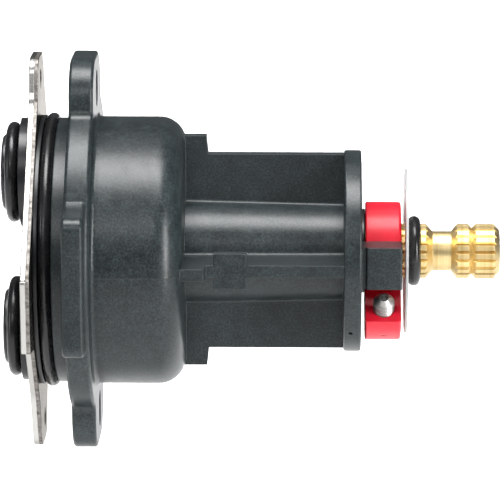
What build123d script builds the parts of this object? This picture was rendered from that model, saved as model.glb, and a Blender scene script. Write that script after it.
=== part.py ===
from build123d import *
import math
import os

# Diverter valve cartridge for a shower or boiler manifold.
# Frame: +X along the valve axis towards the stem's end, +Z through the flange's top ear, millimetres.
# Origin: on the valve axis, in the rear face of the bonnet's flange.
# Stations named ..._X are positions along the valve axis, radii named ..._R are about it.

# Fits
SLIDE_GAP = 0.03
RUN_GAP = 0.05
LOOSE_GAP = 0.15

# Bonnet flange
FLANGE_T = 5.0
FLANGE_R = 33.0
FLANGE_ROUND = 0.7
EAR_HALF = 12.8
EAR_TIP = 41.0
EAR_CORNER = 8.5
EAR_BLEND = 2.5
LOBE_T = 4.3
LOBE_HALF = 14.2
LOBE_TIP = 38.0
LOBE_CORNER = 2.5
LOBE_BLEND = 8.0
SLOT_CENTRE = 34.0
SLOT_LENGTH = 7.7
SLOT_WIDTH = 5.0

# Bonnet body
SKIRT_X = -2.95
SKIRT_R = 27.4
BORE_R = 25.0
DOME_R = 27.7
DOME_END_X = 23.2
DOME_ROUND = 5.4
DOME_WALL = 2.7
CAVITY_ROUND = 3.0
NECK_R = 9.9
NECK_ROOT_R = 10.7
NECK_BORE_R = 6.1
GLAND_R = 8.0
GLAND_X = 46.0
END_DISC_X = 55.9
END_DISC_R = 20.85
END_DISC_ROUND = 0.45
DIMPLE_X = 57.3
DIMPLE_R = 0.45
DIMPLE_DEG = 42.0
FACE_X = 59.5
FIN_T = 2.5
FIN_R = 20.5
FIN_FOOT_R = 24.3
FIN_FOOT_X = 27.6
FIN_FOOT_DRAFT = 0.4
FIN_ROOT_ROUND = 0.7
BLOCK_X = (29.5, 36.2)
BLOCK_HALF = 3.6
BLOCK_DEPTH = 2.4
SEAM_HEIGHT = 0.07
SEAM_WIDTH = 0.16

# Fixed stop lug on the bonnet's face
LUG_END_X = 67.7
LUG_HALF = 4.3
LUG_INNER = 10.75
LUG_OUTER = 17.6
LUG_FOOT_X = 60.4
LUG_FOOT_OUTER = 17.0

# Port base
BASE_REAR_X = -6.5
LIP_X = -5.55
LIP_R = 27.9
LIP_ROUND = 0.2
GROOVE_R = 25.95
SNAP_X = (-1.7, -0.7)
SNAP_HEIGHT = 0.2
BASE_FRONT_X = 3.0
RIM_X = 5.0
RIM_R = 23.7
KEY_WIDTH = 4.0
KEY_INNER = 22.0
PORT_OFFSET = 16.35
PORT_R = 5.0
COLLAR_REAR_X = -10.6
COLLAR_R = 11.25
SPIGOT_END_X = -14.4
SPIGOT_R = 7.75
SPIGOT_CHAMFER = 0.35
SEAL_R = 6.6
SEAL_INNER_R = 5.3
SEAL_DEPTH = 1.5

# Retaining plate
PLATE_T = 1.9
PLATE_HOLE_OFFSET = 35.9
PLATE_HOLE_R = 2.0
PLATE_SPIGOT_HOLE_R = 11.5
PLATE_INLET_R = 5.5
PLATE_EDGE_ROUND = 0.2
PLATE_SCREW_OFFSET = 20.5
PLATE_SCREW_R = 1.45
PLATE_SCREW_HEAD_R = 3.1
PLATE_SCREW_END_X = 0.8

# O-rings: centre station, ring radius, cord radius
BODY_RING = (-4.2, 27.2, 1.2)
SPIGOT_RING = (-12.2, 9.1, 1.3)
KEEPER_RING = (70.45, 5.95, 1.3)
STEM_RING_XS = (29.2, 36.2)
STEM_RING_R = 5.28
STEM_RING_CORD_R = 0.77
STEM_GROOVE_R = 4.5
STEM_GROOVE_HALF = 1.1

# Ceramic discs and their driver
FIXED_DISC_R = 23.5
FIXED_DISC_T = 4.0
DISC_PORT_R = 4.0
MOVING_DISC_R = 22.5
MOVING_DISC_T = 4.0
PASSAGE_DEPTH = 2.2
PASSAGE_WIDTH = 9.0
DRIVE_NOTCH_WIDTH = 5.0
DRIVE_NOTCH_INNER = 19.5
DRIVE_NOTCH_DEPTH = 2.2
DRIVER_R = 21.5
DRIVER_T = 3.0
SPRING_INNER_R = 8.6
SPRING_OUTER_R = 13.4
SPRING_T = 0.9

# Stem
TANG_X = 11.6
TANG = (8.0, 13.0)
STEM_COLLAR_X = (17.2, 19.9)
STEM_COLLAR_R = 9.8
STEM_R = 6.0
SPLINE_X = 60.0
SPLINE_R = 5.65
SPLINE_ROOT_R = 5.0
SPLINE_TEETH = 20
SPLINE_LAND_DEG = 5.2
KEEPER_GROOVE_X = (69.1, 71.8)
KEEPER_GROOVE_R = 4.6
CONE_X = 72.8
NECK_X = (74.3, 78.1)
NECK_GROOVE_R = 4.1
HEAD_X = 79.4
WAIST_X = (81.6, 82.4, 83.2)
WAIST_R = 4.8
CROWN_X = 86.9
STEM_END_X = 88.1
STEM_END_R = 4.4
BUSH_FLANGE_R = 8.75
BUSH_FLANGE_T = 0.75
THRUST_R = 10.0

# Limit stop parts that turn with the stem
STOP_X = (60.35, 67.7)
STOP_R = 10.15
STOP_LOBE_R = 18.4
STOP_ROUND = 0.6
STOP_FLANK_DEG = 39.6
STOP_LOBE_DEG = 131.4
FIRST_STOP_DEG = 7.0
SECOND_STOP_DEG = 166.5
STOP_SCREW_X = 64.1
STOP_SCREW_CENTRE = 15.1
SCREW_R = 2.2
SCREW_ROOT_R = 1.8
SCREW_PITCH = 0.95
SCREW_OUT = 3.8
SCREW_IN = 6.0
SCREW_TIP_R = 1.0
SCREW_CONE = 1.0
SCREW_HEX_R = 0.72
SCREW_HEX_DEPTH = 1.6
WASHER_X = (68.5, 69.0)
WASHER_R = 17.0


def rounded_face(corners):
    """Closed outline; a corner's third value rounds it."""
    points = [corner[:2] for corner in corners]
    radii = [corner[2] if len(corner) > 2 else 0 for corner in corners]
    return make_face(FilletPolyline(*points, radius=radii, close=True))


def lathe(*corners):
    """Turned solid from an outline of (station, radius) corners."""
    return revolve(rounded_face(corners), Axis.X)


def rod(x0, x1, radius, y=0.0, z=0.0):
    """Cylinder along the valve axis."""
    return Pos(0, y, z) * lathe((x0, 0), (x1, 0), (x1, radius), (x0, radius))


def slab(sketch, x0, x1):
    """Sketch of (y, z) extruded from one station to another."""
    return extrude(Plane.YZ.offset(x0) * sketch, amount=x1 - x0)


def block(x_range, y_range, z_range):
    """Box between two corners."""
    sizes = [high - low for low, high in (x_range, y_range, z_range)]
    centre = [(high + low) / 2 for low, high in (x_range, y_range, z_range)]
    return Pos(*centre) * Box(*sizes)


def ring(station, ring_r, cord_r, y=0.0, z=0.0):
    """O-ring about the valve axis, or about a line parallel to it."""
    return Pos(station, y, z) * Rot(0, 90, 0) * Torus(ring_r, cord_r)


def end_edges(solid):
    """Edges of a slab's two flat ends."""
    groups = solid.edges().group_by(Axis.X)
    return groups[0] + groups[-1]


def blended_disc(radius, tab, blend):
    """Disc with a tab on two sides; each tab's sides run into the disc through a blend."""
    outline = Circle(radius) + tab
    roots = [v for v in outline.vertices() if abs(math.hypot(v.X, v.Y) - radius) < 0.01]
    return fillet(roots, blend)


def flange():
    ears = blended_disc(FLANGE_R, RectangleRounded(2 * EAR_HALF, 2 * EAR_TIP, EAR_CORNER), EAR_BLEND)
    plate = slab(ears, 0, FLANGE_T)
    plate = fillet(end_edges(plate), FLANGE_ROUND)
    tabs = RectangleRounded(2 * LOBE_TIP, 2 * LOBE_HALF, LOBE_CORNER)
    lobes = slab(blended_disc(FLANGE_R - 0.5, tabs, LOBE_BLEND), 0, LOBE_T)
    lobes = fillet(end_edges(lobes), FLANGE_ROUND)
    slot = SlotOverall(SLOT_LENGTH, SLOT_WIDTH, rotation=90)
    slots = Pos(0, SLOT_CENTRE) * slot + Pos(0, -SLOT_CENTRE) * slot
    return plate + lobes - slab(slots, -1, FLANGE_T + 1) - rod(-1, FLANGE_T + 1, BORE_R)


def fin(angle, with_block):
    """Stiffening fin of the neck; the two fins in the mould's parting plane carry a square pad on their edge."""
    foot = DOME_END_X - 2.0
    root = GLAND_R + 0.6
    corners = [
        (foot, root),
        (END_DISC_X + 1, root),
        (END_DISC_X + 1, FIN_R),
        (FIN_FOOT_X + FIN_FOOT_DRAFT, FIN_R),
        (FIN_FOOT_X, FIN_FOOT_R),
        (foot, FIN_FOOT_R),
    ]
    shape = extrude(rounded_face(corners), amount=FIN_T / 2, both=True)
    if with_block:
        shape += block(BLOCK_X, (FIN_R - BLOCK_DEPTH, FIN_R), (-BLOCK_HALF, BLOCK_HALF))
    return Rot(angle, 0, 0) * shape


def seam():
    """Mould parting line, a fine raised line in the plane of the block-bearing fins."""
    skins = []
    for grow in (SEAM_HEIGHT, -1):
        skins.append(lathe(
            (FLANGE_T - 1, 0),
            (FLANGE_T - 1, DOME_R + grow),
            (DOME_END_X + grow, DOME_R + grow, DOME_ROUND + grow),
            (DOME_END_X + grow, 0),
        ))
    reach = (-DOME_R - 1, DOME_R + 1)
    line = block((FLANGE_T, DOME_END_X + 1), reach, (-SEAM_WIDTH / 2, SEAM_WIDTH / 2))
    return (skins[0] - skins[1]) & line


def lug():
    body = block((LUG_FOOT_X, LUG_END_X), (-LUG_OUTER, -LUG_INNER), (-LUG_HALF, LUG_HALF))
    body = fillet(body.edges().filter_by(Axis.Z), 0.4)
    foot = block((FACE_X - 1, LUG_FOOT_X + 1), (-LUG_FOOT_OUTER, -LUG_INNER), (-LUG_HALF, LUG_HALF))
    return body + foot


def neck():
    """Tapered core with its four fins."""
    foot = DOME_END_X - 2.0
    top = END_DISC_X + 1
    core = lathe((foot, 0), (foot, NECK_ROOT_R), (top, NECK_R), (top, 0))
    for turn in range(4):
        core += fin(90 * turn, turn % 2 == 0)
    roots = []
    for edge in core.edges():
        middle = edge.center()
        if edge.length > 20 and NECK_R < math.hypot(middle.Y, middle.Z) < NECK_ROOT_R:
            roots.append(edge)
    return fillet(roots, FIN_ROOT_ROUND)


def bonnet():
    wall_x = DOME_END_X - DOME_WALL
    shell = lathe(
        (SKIRT_X, BORE_R),
        (SKIRT_X, SKIRT_R, 0.3),
        (1.5, SKIRT_R),
        (1.5, FLANGE_R - 3),
        (FLANGE_T, FLANGE_R - 3),
        (FLANGE_T, DOME_R, 0.9),
        (DOME_END_X, DOME_R, DOME_ROUND),
        (DOME_END_X, GLAND_R + 0.6),
        (wall_x, GLAND_R + 0.6),
        (wall_x, BORE_R, CAVITY_ROUND),
        (SNAP_X[1], BORE_R),
        (SNAP_X[1], BORE_R + SNAP_HEIGHT + 0.05),
        (SNAP_X[0], BORE_R + SNAP_HEIGHT + 0.05),
        (SNAP_X[0], BORE_R),
    )
    disc = lathe(
        (END_DISC_X, 0),
        (END_DISC_X, END_DISC_R, END_DISC_ROUND),
        (FACE_X, END_DISC_R, END_DISC_ROUND),
        (FACE_X, 0),
    )
    body = shell + flange() + neck() + rod(wall_x, DOME_END_X, NECK_R) + disc + lug() + seam()
    body -= rod(wall_x - 1, FACE_X + 1, NECK_BORE_R)
    dimple = Pos(DIMPLE_X, -END_DISC_R, 0) * Rot(90, 0, 0) * Cylinder(DIMPLE_R, 1)
    body -= Rot(DIMPLE_DEG, 0, 0) * dimple
    return body - rod(GLAND_X, FACE_X + 1, GLAND_R)


def port_offsets():
    return (PORT_OFFSET, -PORT_OFFSET)


def port_base():
    body = lathe(
        (BASE_REAR_X, 0),
        (BASE_REAR_X, LIP_R, LIP_ROUND),
        (LIP_X, LIP_R, LIP_ROUND),
        (LIP_X, GROOVE_R),
        (SKIRT_X, GROOVE_R),
        (SKIRT_X, BORE_R - RUN_GAP),
        (SNAP_X[0] + 0.1, BORE_R - RUN_GAP),
        (SNAP_X[0] + 0.1, BORE_R + SNAP_HEIGHT),
        (SNAP_X[1] - 0.1, BORE_R - RUN_GAP),
        (RIM_X, BORE_R - RUN_GAP, 0.4),
        (RIM_X, RIM_R),
        (BASE_FRONT_X, RIM_R),
        (BASE_FRONT_X, 0),
    )
    for side in (1, -1):
        keys = sorted((side * KEY_INNER, side * (RIM_R + 0.5)))
        body += block((BASE_FRONT_X - 0.5, RIM_X - 0.5), keys, (-KEY_WIDTH / 2, KEY_WIDTH / 2))
    for z in port_offsets():
        body += rod(COLLAR_REAR_X, BASE_REAR_X + 0.5, COLLAR_R, z=z)
        body += Pos(0, 0, z) * lathe(
            (SPIGOT_END_X, 0),
            (SPIGOT_END_X, SPIGOT_R - SPIGOT_CHAMFER),
            (SPIGOT_END_X + SPIGOT_CHAMFER, SPIGOT_R),
            (COLLAR_REAR_X + 1, SPIGOT_R),
            (COLLAR_REAR_X + 1, 0),
        )
    for z in (0, *port_offsets()):
        body -= rod(SPIGOT_END_X - 1, BASE_FRONT_X + 1, PORT_R, z=z)
        body -= rod(BASE_FRONT_X - SEAL_DEPTH, BASE_FRONT_X + 1, SEAL_R, z=z)
    for y in (PLATE_SCREW_OFFSET, -PLATE_SCREW_OFFSET):
        body -= rod(BASE_REAR_X - 1, PLATE_SCREW_END_X + 0.4, PLATE_SCREW_R, y=y)
    return body


def port_seal(z):
    """Flat rubber ring that seals a port of the base to the fixed disc."""
    rear = BASE_FRONT_X - SEAL_DEPTH
    return Pos(0, 0, z) * lathe(
        (rear, SEAL_INNER_R),
        (rear, SEAL_R - RUN_GAP),
        (BASE_FRONT_X, SEAL_R - RUN_GAP, 0.3),
        (BASE_FRONT_X, SEAL_INNER_R, 0.3),
    )


def plate_outline():
    """One side of the stamped outline as (y, z) corners; the other side is the same turned half round."""
    near = [
        (-5.6, 40.8, 3.6),
        (-7.4, 32.5, 6.0),
        (-11.5, 28.2, 6.0),
        (-34.8, 0.8, 1.2),
        (-33.5, -14.2, 1.0),
        (-24.6, -15.4, 1.2),
        (-12.6, -28.8, 10.0),
        (-6.2, -40.8, 3.6),
    ]
    far = [(-y, -z, radius) for y, z, radius in near]
    return rounded_face(near + far)


def retaining_plate():
    rear = BASE_REAR_X - SLIDE_GAP - PLATE_T
    plate = slab(plate_outline(), rear, rear + PLATE_T)
    plate = fillet(end_edges(plate), PLATE_EDGE_ROUND)
    for z in port_offsets():
        plate -= rod(rear - 1, 0, PLATE_SPIGOT_HOLE_R, z=z)
    for z in (PLATE_HOLE_OFFSET, -PLATE_HOLE_OFFSET):
        plate -= rod(rear - 1, 0, PLATE_HOLE_R, z=z)
    plate -= rod(rear - 1, 0, PLATE_INLET_R)
    for screw in plate_screw_solids(LOOSE_GAP, rear):
        plate -= screw
    return plate


def plate_screw_solids(gap, rear):
    """Countersunk screws that hold the plate to the base."""
    head_depth = PLATE_SCREW_HEAD_R - PLATE_SCREW_R
    shape = lathe(
        (rear, 0),
        (rear, PLATE_SCREW_HEAD_R + gap),
        (rear + head_depth, PLATE_SCREW_R + gap),
        (PLATE_SCREW_END_X, PLATE_SCREW_R + gap),
        (PLATE_SCREW_END_X, 0),
    )
    return [Pos(0, y, 0) * shape for y in (PLATE_SCREW_OFFSET, -PLATE_SCREW_OFFSET)]


def plate_screws():
    rear = BASE_REAR_X - SLIDE_GAP - PLATE_T
    cross = block((rear - 1, rear + 1.1), (-1.6, 1.6), (-0.35, 0.35))
    cross += block((rear - 1, rear + 1.1), (-0.35, 0.35), (-1.6, 1.6))
    screws = []
    for y, screw in zip((PLATE_SCREW_OFFSET, -PLATE_SCREW_OFFSET), plate_screw_solids(-SLIDE_GAP, rear)):
        screws.append(screw - Pos(0, y, 0) * cross)
    return Compound(screws)


def fixed_disc():
    front = BASE_FRONT_X + FIXED_DISC_T
    disc = lathe((BASE_FRONT_X, 0), (BASE_FRONT_X, FIXED_DISC_R), (front, FIXED_DISC_R), (front, 0))
    for z in (0, *port_offsets()):
        disc -= rod(BASE_FRONT_X - 1, front + 1, DISC_PORT_R, z=z)
    for side in (1, -1):
        notch = sorted((side * (KEY_INNER - LOOSE_GAP), side * (FIXED_DISC_R + 1)))
        half = KEY_WIDTH / 2 + LOOSE_GAP
        disc -= block((BASE_FRONT_X - 1, front + 1), notch, (-half, half))
    return disc


def moving_disc():
    rear = BASE_FRONT_X + FIXED_DISC_T + SLIDE_GAP
    front = rear + MOVING_DISC_T
    disc = lathe((rear, 0), (rear, MOVING_DISC_R), (front, MOVING_DISC_R), (front, 0))
    passage = Pos(0, PORT_OFFSET / 2) * SlotCenterToCenter(PORT_OFFSET, PASSAGE_WIDTH, rotation=90)
    bearing = (FIRST_STOP_DEG + 180 - SECOND_STOP_DEG) / 2
    disc -= Rot(bearing, 0, 0) * slab(passage, rear - 1, rear + PASSAGE_DEPTH)
    for side in (1, -1):
        notch = sorted((side * DRIVE_NOTCH_INNER, side * (MOVING_DISC_R + 1)))
        half = DRIVE_NOTCH_WIDTH / 2
        disc -= block((front - DRIVE_NOTCH_DEPTH, front + 1), notch, (-half, half))
    return disc


def driver_rear():
    return BASE_FRONT_X + FIXED_DISC_T + MOVING_DISC_T + 2 * SLIDE_GAP


def disc_driver():
    rear = driver_rear()
    front = rear + DRIVER_T
    body = lathe((rear, 0), (rear, DRIVER_R), (front, DRIVER_R, 0.5), (front, 0))
    for side in (1, -1):
        dog = sorted((side * (DRIVE_NOTCH_INNER + LOOSE_GAP), side * (DRIVER_R - 0.2)))
        half = DRIVE_NOTCH_WIDTH / 2 - LOOSE_GAP
        body += block((rear - DRIVE_NOTCH_DEPTH + LOOSE_GAP, rear + 1), dog, (-half, half))
    tang_y = TANG[0] / 2 + RUN_GAP
    tang_z = TANG[1] / 2 + RUN_GAP
    return body - block((rear - 1, front + 1), (-tang_y, tang_y), (-tang_z, tang_z))


def disc_spring():
    """Cone spring between the driver and the stem's collar."""
    low = driver_rear() + DRIVER_T + SLIDE_GAP
    high = STEM_COLLAR_X[0] - SLIDE_GAP
    return lathe(
        (low, SPRING_OUTER_R),
        (low + SPRING_T, SPRING_OUTER_R),
        (high, SPRING_INNER_R),
        (high - SPRING_T, SPRING_INNER_R),
    )


def spline_sketch(grow):
    """Toothed outline of the stem's spline, as (y, z) points."""
    points = []
    pitch = 360 / SPLINE_TEETH
    for tooth in range(SPLINE_TEETH):
        middle = tooth * pitch
        for radius, angle in (
            (SPLINE_R + grow, middle - SPLINE_LAND_DEG),
            (SPLINE_R + grow, middle + SPLINE_LAND_DEG),
            (SPLINE_ROOT_R + grow, middle + pitch / 2),
        ):
            bearing = math.radians(angle)
            points.append((radius * math.cos(bearing), radius * math.sin(bearing)))
    return make_face(Polyline(*points, close=True))


def stem():
    shaft = lathe(
        (STEM_COLLAR_X[0], 0),
        (STEM_COLLAR_X[0], STEM_COLLAR_R, 0.3),
        (STEM_COLLAR_X[1], STEM_COLLAR_R, 0.3),
        (STEM_COLLAR_X[1], STEM_R),
        (SPLINE_X, STEM_R, 0.3),
        (SPLINE_X, 0),
    )
    for station in STEM_RING_XS:
        shaft -= lathe(
            (station - STEM_GROOVE_HALF, STEM_GROOVE_R),
            (station + STEM_GROOVE_HALF, STEM_GROOVE_R),
            (station + STEM_GROOVE_HALF, STEM_R + 1),
            (station - STEM_GROOVE_HALF, STEM_R + 1),
        )
    tip_r = SPLINE_R + 0.05
    head = lathe(
        (SPLINE_X - 0.5, 0),
        (SPLINE_X - 0.5, tip_r),
        (KEEPER_GROOVE_X[0], tip_r),
        (KEEPER_GROOVE_X[0], KEEPER_GROOVE_R),
        (KEEPER_GROOVE_X[1], KEEPER_GROOVE_R),
        (KEEPER_GROOVE_X[1], tip_r),
        (CONE_X, tip_r),
        (NECK_X[0], NECK_GROOVE_R),
        (NECK_X[1], NECK_GROOVE_R),
        (HEAD_X, tip_r),
        (WAIST_X[0], tip_r),
        (WAIST_X[1], WAIST_R),
        (WAIST_X[2], tip_r),
        (CROWN_X, tip_r),
        (STEM_END_X, STEM_END_R),
        (STEM_END_X, 0),
    )
    splined = head & slab(spline_sketch(0), SPLINE_X - 0.5, STEM_END_X + 1)
    tang = block((TANG_X, STEM_COLLAR_X[0] + 0.5), (-TANG[0] / 2, TANG[0] / 2), (-TANG[1] / 2, TANG[1] / 2))
    return shaft + splined + tang


def thrust_washer():
    rear = STEM_COLLAR_X[1] + SLIDE_GAP
    front = DOME_END_X - DOME_WALL - SLIDE_GAP
    inner = STEM_R + RUN_GAP
    return lathe((rear, inner), (rear, THRUST_R), (front, THRUST_R), (front, inner))


def stem_bushing():
    inner = STEM_R + RUN_GAP
    front = FACE_X + BUSH_FLANGE_T
    return lathe(
        (GLAND_X + SLIDE_GAP, inner),
        (GLAND_X + SLIDE_GAP, GLAND_R - SLIDE_GAP),
        (FACE_X, GLAND_R - SLIDE_GAP),
        (FACE_X, BUSH_FLANGE_R),
        (front, BUSH_FLANGE_R, 0.25),
        (front, inner),
    )


def stop_flank_plane():
    """Origin where the stop screw leaves the lobe's flank; +Z points out of the flank, at the lug."""
    angle = math.radians(STOP_FLANK_DEG)
    origin = (STOP_SCREW_X, -STOP_SCREW_CENTRE * math.cos(angle), -STOP_SCREW_CENTRE * math.sin(angle))
    return Plane(origin=origin, x_dir=(1, 0, 0), z_dir=(0, -math.sin(angle), math.cos(angle)))


def stop_ring():
    rear, front = STOP_X
    hub = lathe((rear, 0), (rear, STOP_R, 0.3), (front, STOP_R, STOP_ROUND), (front, 0))
    inner = SPLINE_R + 1.5
    profile = rounded_face(
        [(rear, inner), (rear, STOP_LOBE_R, 0.3), (front, STOP_LOBE_R, STOP_ROUND), (front, inner)]
    )
    lobe = revolve(Rot(180 + STOP_FLANK_DEG, 0, 0) * profile, Axis.X, STOP_LOBE_DEG)
    body = hub + lobe - slab(spline_sketch(RUN_GAP), rear - 1, front + 1)
    hole = Pos(0, 0, 1 - (SCREW_IN + 1.5) / 2) * Cylinder(SCREW_R + RUN_GAP, SCREW_IN + 1.5)
    return body - stop_flank_plane().location * hole


def stop_screw():
    """Socket set screw with a cone end; its thread is a stack of rings."""
    cone_z = SCREW_OUT - SCREW_CONE
    points = [(0, -SCREW_IN), (SCREW_ROOT_R, -SCREW_IN)]
    turns = int((SCREW_IN + cone_z) / SCREW_PITCH)
    for turn in range(turns):
        start = cone_z - (turns - turn) * SCREW_PITCH
        points.append((SCREW_ROOT_R, start))
        points.append((SCREW_R, start + 0.4 * SCREW_PITCH))
        points.append((SCREW_R, start + 0.6 * SCREW_PITCH))
    points.append((SCREW_ROOT_R, cone_z))
    points.append((SCREW_TIP_R, SCREW_OUT))
    points.append((0, SCREW_OUT))
    profile = make_face(Polyline(*[(radius, 0, height) for radius, height in points], close=True))
    body = revolve(profile, Axis.Z)
    socket = extrude(RegularPolygon(SCREW_HEX_R, 6), amount=SCREW_HEX_DEPTH)
    body -= Pos(0, 0, SCREW_OUT - SCREW_HEX_DEPTH) * socket
    return stop_flank_plane().location * body


def stop_washer():
    inner = SPLINE_R + 0.1
    rear, front = WASHER_X
    return lathe((rear, inner), (rear, WASHER_R), (front, WASHER_R), (front, inner))


def stem_ring(station):
    return ring(station, STEM_RING_R, STEM_RING_CORD_R)


NODES = {
    "bonnet": bonnet,
    "port_base": port_base,
    "retaining_plate": retaining_plate,
    "plate_screws": plate_screws,
    "body_o_ring": lambda: ring(*BODY_RING),
    "upper_spigot_o_ring": lambda: ring(*SPIGOT_RING, z=PORT_OFFSET),
    "lower_spigot_o_ring": lambda: ring(*SPIGOT_RING, z=-PORT_OFFSET),
    "upper_port_seal": lambda: port_seal(PORT_OFFSET),
    "inlet_port_seal": lambda: port_seal(0),
    "lower_port_seal": lambda: port_seal(-PORT_OFFSET),
    "fixed_disc": fixed_disc,
    "moving_disc": moving_disc,
    "disc_driver": disc_driver,
    "disc_spring": disc_spring,
    "stem": stem,
    "thrust_washer": thrust_washer,
    "stem_bushing": stem_bushing,
    "rear_stem_o_ring": lambda: stem_ring(STEM_RING_XS[0]),
    "front_stem_o_ring": lambda: stem_ring(STEM_RING_XS[1]),
    "stop_ring": stop_ring,
    "stop_screw": stop_screw,
    "stop_washer": stop_washer,
    "keeper_o_ring": lambda: ring(*KEEPER_RING),
}

os.makedirs("parts", exist_ok=True)
for name, make in NODES.items():
    export_step(make(), f"parts/{name}.step")
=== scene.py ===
import math

import bpy
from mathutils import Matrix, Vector


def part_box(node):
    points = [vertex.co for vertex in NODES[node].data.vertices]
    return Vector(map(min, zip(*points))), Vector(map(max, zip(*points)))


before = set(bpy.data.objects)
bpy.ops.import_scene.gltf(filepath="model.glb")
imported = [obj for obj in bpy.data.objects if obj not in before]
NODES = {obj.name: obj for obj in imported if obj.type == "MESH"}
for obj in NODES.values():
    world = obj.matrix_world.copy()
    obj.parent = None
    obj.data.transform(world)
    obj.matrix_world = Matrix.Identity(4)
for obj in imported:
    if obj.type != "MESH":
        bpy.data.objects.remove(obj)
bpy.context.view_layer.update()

MIDDLE = (0.0365, 0.0, 0.0)
CAMERA_PLACE = (0.0506, -0.6886, 0.1514)
CAMERA_LENS_MM = 244.6
CAMERA_SENSOR_MM = 36.0
FLOOR_Z = -0.16
FLOOR_REACH = 6.0
WORLD_COLOUR = (0.95, 0.98, 1.0, 1.0)
WORLD_STRENGTH = 0.15
SOCKETS = {
    "colour": "Base Color",
    "rough": "Roughness",
    "metal": "Metallic",
    "specular": "Specular IOR Level",
    "coat": "Coat Weight",
    "coat_rough": "Coat Roughness",
    "transmission": "Transmission Weight",
    "subsurface": "Subsurface Weight",
    "ior": "IOR",
    "tint": "Specular Tint",
}


class Maker:
    """One node material, built up a node at a time."""

    def __init__(self, name, **values):
        self.material = bpy.data.materials.new(name)
        self.material.use_nodes = True
        self.tree = self.material.node_tree
        self.shader = self.tree.nodes["Principled BSDF"]
        self.place = self.add("ShaderNodeTexCoord").outputs["Object"]
        self.bump_out = None
        for key, value in values.items():
            self.set(key, value)

    def add(self, kind, **settings):
        node = self.tree.nodes.new(kind)
        for key, value in settings.items():
            setattr(node, key, value)
        return node

    def link(self, source, target):
        self.tree.links.new(source, target)

    def set(self, key, value):
        """A constant, a colour or another node's output on a shader socket."""
        socket = self.shader.inputs[SOCKETS[key]]
        if isinstance(value, bpy.types.NodeSocket):
            self.link(value, socket)
        elif isinstance(value, tuple):
            socket.default_value = (*value, 1.0)
        else:
            socket.default_value = value

    def noise(self, scale, detail=3.0, roughness=0.5, stretch=(1, 1, 1), distortion=0.0):
        mapping = self.add("ShaderNodeMapping")
        mapping.inputs["Scale"].default_value = stretch
        self.link(self.place, mapping.inputs["Vector"])
        texture = self.add("ShaderNodeTexNoise")
        texture.inputs["Scale"].default_value = scale
        texture.inputs["Detail"].default_value = detail
        texture.inputs["Roughness"].default_value = roughness
        texture.inputs["Distortion"].default_value = distortion
        self.link(mapping.outputs["Vector"], texture.inputs["Vector"])
        return texture.outputs["Fac"]

    def ramp(self, source, *stops):
        """Colour ramp; a stop is (position, colour or grey)."""
        node = self.add("ShaderNodeValToRGB")
        elements = node.color_ramp.elements
        while len(elements) < len(stops):
            elements.new(0.5)
        for element, (position, value) in zip(elements, stops):
            colour = value if isinstance(value, tuple) else (value, value, value)
            element.position = position
            element.color = (*colour, 1.0)
        self.link(source, node.inputs["Fac"])
        return node.outputs["Color"]

    def math(self, operation, first, second=0.5, clamp=False):
        node = self.add("ShaderNodeMath", operation=operation, use_clamp=clamp)
        for socket, value in zip(node.inputs, (first, second)):
            if isinstance(value, bpy.types.NodeSocket):
                self.link(value, socket)
            else:
                socket.default_value = value
        return node.outputs["Value"]

    def mix(self, factor, first, second, blend="MIX"):
        """Colour mix of colours or outputs."""
        node = self.add("ShaderNodeMix", data_type="RGBA", blend_type=blend)
        sockets = [node.inputs["Factor"], *[s for s in node.inputs if s.type == "RGBA"]]
        for socket, value in zip(sockets, (factor, first, second)):
            if isinstance(value, bpy.types.NodeSocket):
                self.link(value, socket)
            elif isinstance(value, tuple):
                socket.default_value = (*value, 1.0)
            else:
                socket.default_value = value
        return [s for s in node.outputs if s.type == "RGBA"][0]

    def bump(self, height, depth_mm, strength=1.0):
        """Adds to the surface's relief; depth_mm is the relief of a height of 1."""
        node = self.add("ShaderNodeBump")
        node.inputs["Strength"].default_value = strength
        node.inputs["Distance"].default_value = depth_mm / 1000
        self.link(height, node.inputs["Height"])
        if self.bump_out is not None:
            self.link(self.bump_out, node.inputs["Normal"])
        self.bump_out = node.outputs["Normal"]
        self.link(self.bump_out, self.shader.inputs["Normal"])

    def part(self, axis):
        """Position along an axis, in metres."""
        node = self.add("ShaderNodeSeparateXYZ")
        self.link(self.place, node.inputs["Vector"])
        return node.outputs[axis]

    def facing(self, axis):
        """1 where the true surface faces along an axis, either way."""
        node = self.add("ShaderNodeSeparateXYZ")
        self.link(self.add("ShaderNodeNewGeometry").outputs["True Normal"], node.inputs["Vector"])
        return self.math("ABSOLUTE", node.outputs[axis])

    def edges(self, width_mm):
        """1 near a sharp edge, 0 away from it."""
        bevel = self.add("ShaderNodeBevel", samples=6)
        bevel.inputs["Radius"].default_value = width_mm / 1000
        dot = self.add("ShaderNodeVectorMath", operation="DOT_PRODUCT")
        self.link(bevel.outputs["Normal"], dot.inputs[0])
        self.link(self.add("ShaderNodeNewGeometry").outputs["True Normal"], dot.inputs[1])
        return self.math("SUBTRACT", 1.0, dot.outputs["Value"], clamp=True)

    def soften(self, width_mm):
        """Rounds sharp edges in the shading."""
        bevel = self.add("ShaderNodeBevel", samples=6)
        bevel.inputs["Radius"].default_value = width_mm / 1000
        self.bump_out = bevel.outputs["Normal"]
        self.link(self.bump_out, self.shader.inputs["Normal"])


def paint(maker, *names):
    for name in names:
        mesh = NODES[name].data
        mesh.materials.clear()
        mesh.materials.append(maker.material)


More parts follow.
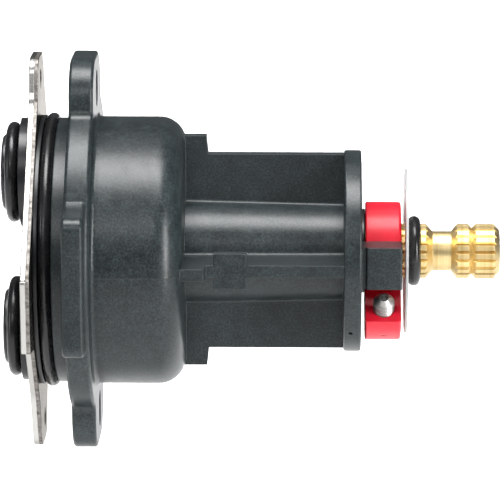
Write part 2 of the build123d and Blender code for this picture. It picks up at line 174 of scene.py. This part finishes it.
def housing_plastic():
    m = Maker("housing_plastic", specular=0.45)
    m.soften(0.35)
    cloud = m.noise(60, 4, 0.6)
    speck = m.noise(2400, 3, 0.7)
    blotch = m.noise(380, 5, 0.7)
    base = m.ramp(cloud, (0.3, (0.0110, 0.0155, 0.0168)), (0.7, (0.0175, 0.0240, 0.0258)))
    colour = m.mix(1.0, base, m.ramp(speck, (0.42, 0.75), (0.68, 2.4)), "MULTIPLY")
    colour = m.mix(1.0, colour, m.ramp(blotch, (0.35, 0.8), (0.7, 1.35)), "MULTIPLY")
    # painted highlight: a pale grey along every sharp edge and fillet, lit the same under any lamp
    colour = m.mix(m.math("MULTIPLY", m.edges(0.35), 0.6, clamp=True), colour, (0.085, 0.095, 0.10))
    m.set("colour", colour)
    m.set("rough", m.math("ADD", m.math("MULTIPLY", blotch, 0.24), 0.22))
    m.bump(speck, 0.012)
    m.bump(m.noise(240, 3, 0.5), 0.03)
    return m


def base_plastic():
    m = Maker("base_plastic", specular=0.5)
    m.soften(0.25)
    cloud = m.noise(90, 4, 0.6)
    m.set("colour", m.ramp(cloud, (0.3, (0.010, 0.011, 0.012)), (0.7, (0.017, 0.018, 0.020))))
    m.set("rough", m.math("ADD", m.math("MULTIPLY", cloud, 0.2), 0.22))
    m.bump(m.noise(700, 3, 0.6), 0.02)
    return m


def plate_steel():
    m = Maker("plate_steel", metal=1.0, tint=(0.42, 0.40, 0.38))
    m.soften(0.2)
    streaks = m.noise(260, 4, 0.6, stretch=(1, 1, 8))
    cloud = m.noise(45, 3, 0.6)
    face = m.ramp(streaks, (0.3, (0.26, 0.245, 0.225)), (0.7, (0.46, 0.445, 0.42)))
    low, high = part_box("retaining_plate")
    rear, front = low[0], high[0]
    across = m.math("DIVIDE", m.math("SUBTRACT", m.part("X"), rear), front - rear)
    ragged = m.math("ADD", across, m.math("MULTIPLY", m.noise(380, 3, 0.6), 0.12))
    torn = m.ramp(ragged, (0.60, 0.0), (0.66, 1.0))
    on_edge = m.ramp(m.facing("X"), (0.35, 1.0), (0.6, 0.0))
    grain = m.noise(900, 5, 0.7, stretch=(0.5, 1, 1))
    torn_metal = m.ramp(grain, (0.35, (0.10, 0.09, 0.08)), (0.65, (0.42, 0.40, 0.38)))
    edge = m.mix(torn, (0.62, 0.61, 0.585), torn_metal)
    m.set("colour", m.mix(on_edge, face, edge))
    rough_face = m.math("ADD", m.math("MULTIPLY", cloud, 0.16), 0.17)
    torn_edge = m.math("MULTIPLY", torn, on_edge)
    m.set("rough", m.math("ADD", rough_face, m.math("MULTIPLY", torn_edge, 0.28)))
    m.bump(m.math("MULTIPLY", grain, torn_edge), 0.16)
    m.bump(streaks, 0.008)
    return m


def turned_metal(name, dark, light, rough, lines):
    """Metal with fine turning lines about the valve axis."""
    m = Maker(name, metal=1.0)
    m.soften(0.08)
    rings = m.noise(lines, 3, 0.6, stretch=(1, 0.03, 0.03))
    blotch = m.noise(160, 4, 0.6)
    lines_colour = m.ramp(rings, (0.3, dark), (0.7, light))
    m.set("colour", m.mix(1.0, lines_colour, m.ramp(blotch, (0.3, 0.82), (0.7, 1.1)), "MULTIPLY"))
    m.set("rough", m.math("ADD", m.math("MULTIPLY", blotch, 0.16), rough))
    m.bump(rings, 0.02)
    m.bump(m.noise(1500, 3, 0.6), 0.008)
    return m


def stem_brass():
    return turned_metal("stem_brass", (0.74, 0.54, 0.23), (0.93, 0.74, 0.40), 0.30, 900)


def screw_steel():
    return turned_metal("screw_steel", (0.50, 0.49, 0.47), (0.80, 0.78, 0.75), 0.30, 1200)


def rubber(name, rough):
    m = Maker(name, specular=0.5)
    bloom = m.noise(260, 4, 0.6)
    m.set("colour", m.ramp(bloom, (0.3, (0.006, 0.006, 0.007)), (0.75, (0.014, 0.014, 0.015))))
    m.set("rough", m.math("ADD", m.math("MULTIPLY", bloom, 0.18), rough))
    m.bump(m.noise(1100, 3, 0.6), 0.012)
    return m


def stop_plastic():
    m = Maker("stop_plastic", specular=0.35, subsurface=0.12, coat=0.08, coat_rough=0.2)
    m.shader.inputs["Subsurface Radius"].default_value = (0.0012, 0.0003, 0.0003)
    m.shader.inputs["Subsurface Scale"].default_value = 1.0
    m.soften(0.25)
    flow = m.noise(120, 4, 0.6, distortion=1.0)
    m.set("colour", m.ramp(flow, (0.3, (0.76, 0.006, 0.024)), (0.7, (0.88, 0.014, 0.042))))
    m.set("rough", m.math("ADD", m.math("MULTIPLY", m.noise(300, 3, 0.6), 0.16), 0.32))
    m.bump(m.noise(500, 3, 0.6), 0.012)
    return m


def washer_plastic():
    m = Maker("washer_plastic", specular=0.5, transmission=0.55, ior=1.45)
    cloud = m.noise(140, 4, 0.6)
    m.set("colour", m.ramp(cloud, (0.3, (0.70, 0.73, 0.72)), (0.7, (0.84, 0.86, 0.85))))
    m.set("rough", m.math("ADD", m.math("MULTIPLY", cloud, 0.2), 0.3))
    m.bump(m.noise(600, 3, 0.6), 0.02)
    return m


def bushing_plastic():
    m = Maker("bushing_plastic", specular=0.5)
    cloud = m.noise(200, 3, 0.6)
    m.set("colour", m.ramp(cloud, (0.3, (0.010, 0.010, 0.011)), (0.7, (0.022, 0.022, 0.024))))
    m.set("rough", m.math("ADD", m.math("MULTIPLY", cloud, 0.15), 0.25))
    m.bump(m.noise(800, 3, 0.6), 0.01)
    return m


def pale_plastic(name):
    m = Maker(name, specular=0.5)
    cloud = m.noise(150, 3, 0.6)
    m.set("colour", m.ramp(cloud, (0.3, (0.66, 0.65, 0.60)), (0.7, (0.78, 0.77, 0.73))))
    m.set("rough", m.math("ADD", m.math("MULTIPLY", cloud, 0.15), 0.35))
    m.bump(m.noise(700, 3, 0.6), 0.012)
    return m


def ceramic():
    m = Maker("ceramic", specular=0.6)
    cloud = m.noise(240, 4, 0.6)
    m.set("colour", m.ramp(cloud, (0.3, (0.80, 0.78, 0.71)), (0.7, (0.90, 0.89, 0.84))))
    m.set("rough", m.math("ADD", m.math("MULTIPLY", cloud, 0.12), 0.16))
    m.bump(m.noise(1400, 3, 0.6), 0.006)
    return m


paint(housing_plastic(), "bonnet")
paint(base_plastic(), "port_base")
paint(plate_steel(), "retaining_plate")
paint(stem_brass(), "stem")
paint(screw_steel(), "stop_screw", "plate_screws", "disc_spring")
paint(
    rubber("black_rubber", 0.18),
    "body_o_ring",
    "upper_spigot_o_ring",
    "lower_spigot_o_ring",
    "rear_stem_o_ring",
    "front_stem_o_ring",
    "keeper_o_ring",
)
paint(rubber("seal_rubber", 0.4), "upper_port_seal", "inlet_port_seal", "lower_port_seal")
paint(stop_plastic(), "stop_ring")
paint(washer_plastic(), "stop_washer")
paint(bushing_plastic(), "stem_bushing")
paint(pale_plastic("driver_plastic"), "disc_driver")
paint(pale_plastic("bearing_plastic"), "thrust_washer")
paint(ceramic(), "fixed_disc", "moving_disc")


def aim(obj, target):
    obj.rotation_euler = (Vector(target) - obj.location).to_track_quat("-Z", "Y").to_euler()


def softbox(name, place, target, size, power, colour=(1, 1, 1)):
    data = bpy.data.lights.new(name, "AREA")
    data.shape = "RECTANGLE"
    data.size, data.size_y = size
    data.energy = power
    data.color = colour
    light = bpy.data.objects.new(name, data)
    bpy.context.scene.collection.objects.link(light)
    light.location = place
    aim(light, target)
    return light


softbox("top", (0.02, -0.10, 0.70), MIDDLE, (0.50, 0.35), 7.5)
softbox("front", (-0.15, -0.80, 0.50), MIDDLE, (0.35, 0.20), 1.3)
softbox("right", (0.60, -0.50, 0.12), MIDDLE, (0.10, 0.50), 4.5)
softbox("left", (-0.60, -0.25, 0.10), MIDDLE, (0.20, 0.40), 0.8)
backlight = softbox("floor_light", (0.0365, 1.10, 1.00), (0.0365, 1.05, FLOOR_Z), (1.6, 1.2), 14.0)
backlight.data.spread = math.radians(60)

world = bpy.data.worlds.new("studio")
world.use_nodes = True
background = world.node_tree.nodes["Background"]
background.inputs["Color"].default_value = WORLD_COLOUR
background.inputs["Strength"].default_value = WORLD_STRENGTH
bpy.context.scene.world = world
bpy.context.scene.view_settings.view_transform = "Standard"

floor_mesh = bpy.data.meshes.new("floor")
floor_corners = [(x * FLOOR_REACH, y * FLOOR_REACH, 0) for x, y in ((-1, -1), (1, -1), (1, 1), (-1, 1))]
floor_mesh.from_pydata(floor_corners, [], [(0, 1, 2, 3)])
floor = bpy.data.objects.new("floor", floor_mesh)
bpy.context.scene.collection.objects.link(floor)
floor.location = (0, 0, FLOOR_Z)
floor_maker = Maker("floor", rough=0.9, specular=0.1)
floor_maker.set("colour", (0.95, 0.95, 0.95))
floor_mesh.materials.append(floor_maker.material)

camera_data = bpy.data.cameras.new("camera")
camera_data.sensor_width = CAMERA_SENSOR_MM
camera_data.lens = CAMERA_LENS_MM
camera_data.clip_start = 0.05
camera = bpy.data.objects.new("camera", camera_data)
bpy.context.scene.collection.objects.link(camera)
camera.location = CAMERA_PLACE
aim(camera, MIDDLE)
bpy.context.scene.camera = camera
